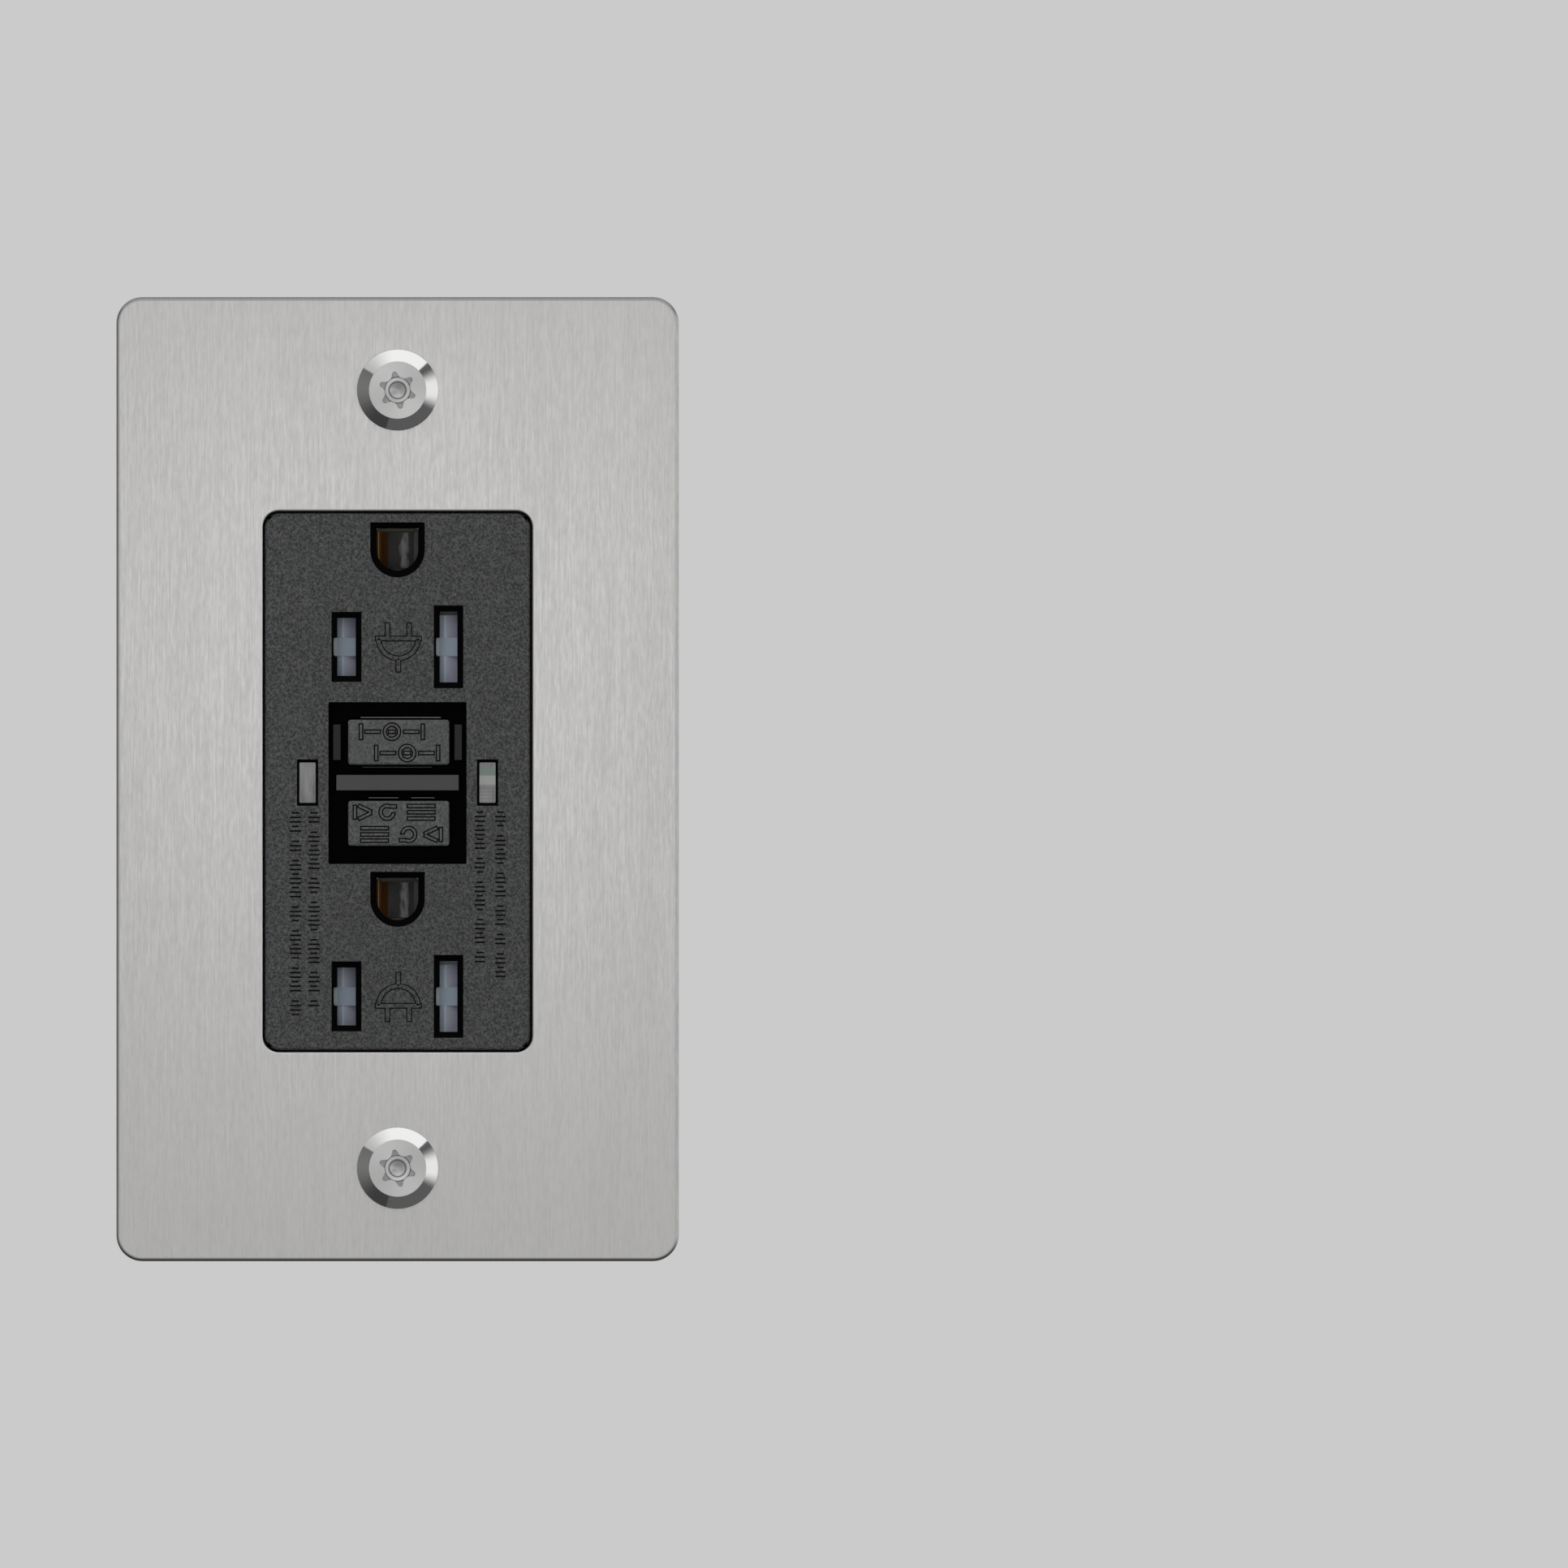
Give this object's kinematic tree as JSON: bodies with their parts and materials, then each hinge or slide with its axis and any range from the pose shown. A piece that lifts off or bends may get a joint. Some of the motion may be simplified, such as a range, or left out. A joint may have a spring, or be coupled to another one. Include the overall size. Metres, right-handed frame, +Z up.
{
  "type": "duplex wall outlet",
  "caption": "Duplex wall outlet with ground-fault trip, test and reset buttons, tamper shutters and a brushed metal plate.",
  "frame": {"origin": "midpoint of the two box screws, in the plane of the wall surface", "axes": "+X to the right seen from the room, +Y into the wall, +Z up; the ground holes are above the blade slots"},
  "size_m": [0.07, 0.0374, 0.12],
  "materials": {
    "brushed_plate": "fine vertical brushing",
    "polished_steel": "turned and polished",
    "zinc_steel": "zinc plated",
    "frame_plastic": "moulded, matt",
    "face_plastic": "fine leather grain",
    "button_plastic": "fine grain",
    "shutter_plastic": "translucent, satin",
    "guide_plastic": "moulded",
    "grey_lens": "translucent, cloudy",
    "clear_lens": "clear moulded",
    "brass": "stamped",
    "silver_contact": "nickel plated brass",
    "ground_green": "green passivated",
    "spring_steel": "drawn wire",
    "frame_insulator": "moulded nylon",
    "latch_plastic": "moulded nylon",
    "bobbin_plastic": "moulded nylon",
    "copper_winding": "enamelled copper wire",
    "iron": "plain iron",
    "ferrite": "coated ferrite",
    "board_green": "solder mask",
    "lamp_lens": "tinted resin",
    "varistor_blue": "epoxy dip",
    "component_black": "moulded epoxy",
    "housing_plastic": "moulded, matt",
    "fibre": "pressed fibre board"
  },
  "bodies": {
    "fixed_assembly": {"wall_plate": "brushed_plate", "wall_plate_screws": "polished_steel", "plate_backing_frame": "frame_plastic", "mounting_strap": "zinc_steel", "box_screws": "zinc_steel", "screw_retainers": "fibre", "ground_rivets": "brass", "face_cover": "face_plastic", "button_guide": "guide_plastic", "test_spring": "spring_steel", "reset_spring": "spring_steel", "left_light_pipe": "grey_lens", "right_light_pipe": "clear_lens", "contact_frame": "frame_insulator", "trip_springs": "spring_steel", "test_contact_blade": "brass", "solenoid_bobbin": "bobbin_plastic", "solenoid_coil": "copper_winding", "solenoid_frame": "iron", "plunger_spring": "spring_steel", "toroid_cores": "ferrite", "toroid_housing": "component_black", "circuit_board": "board_green", "status_leds": "lamp_lens", "varistor": "varistor_blue", "board_capacitors": "varistor_blue", "control_chip": "component_black", "thyristor": "component_black", "rear_housing": "housing_plastic", "housing_screws": "zinc_steel", "upper_ground_contact": "brass", "upper_shutter_guide": "guide_plastic", "upper_shutter_spring": "spring_steel", "lower_ground_contact": "brass", "lower_shutter_guide": "guide_plastic", "lower_shutter_spring": "spring_steel", "hot_contact_bar": "brass", "neutral_contact_bar": "brass", "line_hot_terminal": "brass", "line_neutral_terminal": "silver_contact"},
    "test_button": {"test_button": "button_plastic"},
    "reset_button": {"reset_button": "button_plastic", "reset_rod": "zinc_steel"},
    "upper_shutter": {"upper_shutter": "shutter_plastic"},
    "lower_shutter": {"lower_shutter": "shutter_plastic"},
    "solenoid_plunger": {"solenoid_plunger": "iron"},
    "latch_block": {"latch_block": "latch_plastic"},
    "latch_plate": {"latch_plate": "zinc_steel"},
    "hot_contact_arm": {"hot_contact_arm": "brass"},
    "neutral_contact_arm": {"neutral_contact_arm": "brass"},
    "line_hot_screw": {"line_hot_screw": "brass"},
    "line_hot_clamp": {"line_hot_clamp": "brass"},
    "load_hot_screw": {"load_hot_screw": "brass"},
    "load_hot_clamp": {"load_hot_clamp": "brass"},
    "line_neutral_screw": {"line_neutral_screw": "silver_contact"},
    "line_neutral_clamp": {"line_neutral_clamp": "silver_contact"},
    "load_neutral_screw": {"load_neutral_screw": "silver_contact"},
    "load_neutral_clamp": {"load_neutral_clamp": "silver_contact"},
    "ground_clamp": {"ground_clamp": "brass"},
    "ground_screw": {"ground_screw": "ground_green"}
  },
  "joints": [
    {"name": "test_press", "type": "slide", "parent": "fixed_assembly", "child": "test_button", "axis": [0, 1, 0], "range_m": [0, 0.0015], "stiffness_N_per_m": 300, "springref_m": -0.005, "deforming": ["test_spring"]},
    {"name": "reset_press", "type": "slide", "parent": "fixed_assembly", "child": "reset_button", "axis": [0, 1, 0], "range_m": [0, 0.0018], "stiffness_N_per_m": 300, "springref_m": -0.006, "deforming": ["reset_spring"]},
    {"name": "upper_shutter_slide", "type": "slide", "parent": "fixed_assembly", "child": "upper_shutter", "axis": [1, 0, 0], "range_m": [0, 0.0032], "stiffness_N_per_m": 40, "springref_m": -0.005, "deforming": ["upper_shutter_spring"]},
    {"name": "lower_shutter_slide", "type": "slide", "parent": "fixed_assembly", "child": "lower_shutter", "axis": [1, 0, 0], "range_m": [0, 0.0032], "stiffness_N_per_m": 40, "springref_m": -0.005, "deforming": ["lower_shutter_spring"]},
    {"name": "plunger_fire", "type": "slide", "parent": "fixed_assembly", "child": "solenoid_plunger", "axis": [0, 0, 1], "range_m": [0, 0.0013], "stiffness_N_per_m": 120, "springref_m": -0.004, "deforming": ["plunger_spring"]},
    {"name": "latch_block_drop", "type": "slide", "parent": "fixed_assembly", "child": "latch_block", "axis": [0, 1, 0], "range_m": [0, 0.0024], "deforming": ["trip_springs"]},
    {"name": "latch_plate_slide", "type": "slide", "parent": "latch_block", "child": "latch_plate", "axis": [0, 0, 1], "range_m": [0, 0.0013]},
    {"name": "hot_arm_swing", "type": "hinge", "parent": "fixed_assembly", "child": "hot_contact_arm", "pos_m": [-0.0085, 0.0123, 0.0165], "axis": [1, 0, 0], "range_deg": [0, 5.35]},
    {"name": "line_hot_screw_turn", "type": "hinge", "parent": "fixed_assembly", "child": "line_hot_screw", "pos_m": [-0.0186, 0.0085, 0.022], "axis": [1, 0, 0], "range_deg": [0, 1000]},
    {"name": "line_hot_clamp_slide", "type": "slide", "parent": "fixed_assembly", "child": "line_hot_clamp", "axis": [-1, 0, 0], "range_m": [0, 0.0022]},
    {"name": "load_hot_screw_turn", "type": "hinge", "parent": "fixed_assembly", "child": "load_hot_screw", "pos_m": [-0.0186, 0.0085, -0.022], "axis": [1, 0, 0], "range_deg": [0, 1000]},
    {"name": "load_hot_clamp_slide", "type": "slide", "parent": "fixed_assembly", "child": "load_hot_clamp", "axis": [-1, 0, 0], "range_m": [0, 0.0022]},
    {"name": "neutral_arm_swing", "type": "hinge", "parent": "fixed_assembly", "child": "neutral_contact_arm", "pos_m": [0.0085, 0.0123, 0.0165], "axis": [1, 0, 0], "range_deg": [0, 5.35]},
    {"name": "line_neutral_screw_turn", "type": "hinge", "parent": "fixed_assembly", "child": "line_neutral_screw", "pos_m": [0.0186, 0.0085, 0.022], "axis": [-1, 0, 0], "range_deg": [0, 1000]},
    {"name": "line_neutral_clamp_slide", "type": "slide", "parent": "fixed_assembly", "child": "line_neutral_clamp", "axis": [1, 0, 0], "range_m": [0, 0.0022]},
    {"name": "load_neutral_screw_turn", "type": "hinge", "parent": "fixed_assembly", "child": "load_neutral_screw", "pos_m": [0.0186, 0.0085, -0.022], "axis": [-1, 0, 0], "range_deg": [0, 1000]},
    {"name": "load_neutral_clamp_slide", "type": "slide", "parent": "fixed_assembly", "child": "load_neutral_clamp", "axis": [1, 0, 0], "range_m": [0, 0.0022]},
    {"name": "ground_clamp_slide", "type": "slide", "parent": "fixed_assembly", "child": "ground_clamp", "axis": [0, 0, -1], "range_m": [0, 0.00158]},
    {"name": "ground_screw_turn", "type": "hinge", "parent": "ground_clamp", "child": "ground_screw", "pos_m": [-0.012, 0.005, -0.039], "axis": [0, 0, -1], "range_deg": [0, 720]}
  ],
  "couplings": [
    {"joint": "latch_block_drop", "follows": "plunger_fire", "ratio": 1.846},
    {"joint": "latch_plate_slide", "follows": "plunger_fire", "ratio": 1},
    {"joint": "hot_arm_swing", "follows": "plunger_fire", "rad_per_m": 71.15},
    {"joint": "line_hot_screw_turn", "follows": "line_hot_clamp_slide", "rad_per_m": 7915.8},
    {"joint": "load_hot_screw_turn", "follows": "load_hot_clamp_slide", "rad_per_m": 7915.8},
    {"joint": "neutral_arm_swing", "follows": "plunger_fire", "rad_per_m": 71.15},
    {"joint": "line_neutral_screw_turn", "follows": "line_neutral_clamp_slide", "rad_per_m": 7915.8},
    {"joint": "load_neutral_screw_turn", "follows": "load_neutral_clamp_slide", "rad_per_m": 7915.8},
    {"joint": "ground_screw_turn", "follows": "ground_clamp_slide", "rad_per_m": 7915.8}
  ]
}
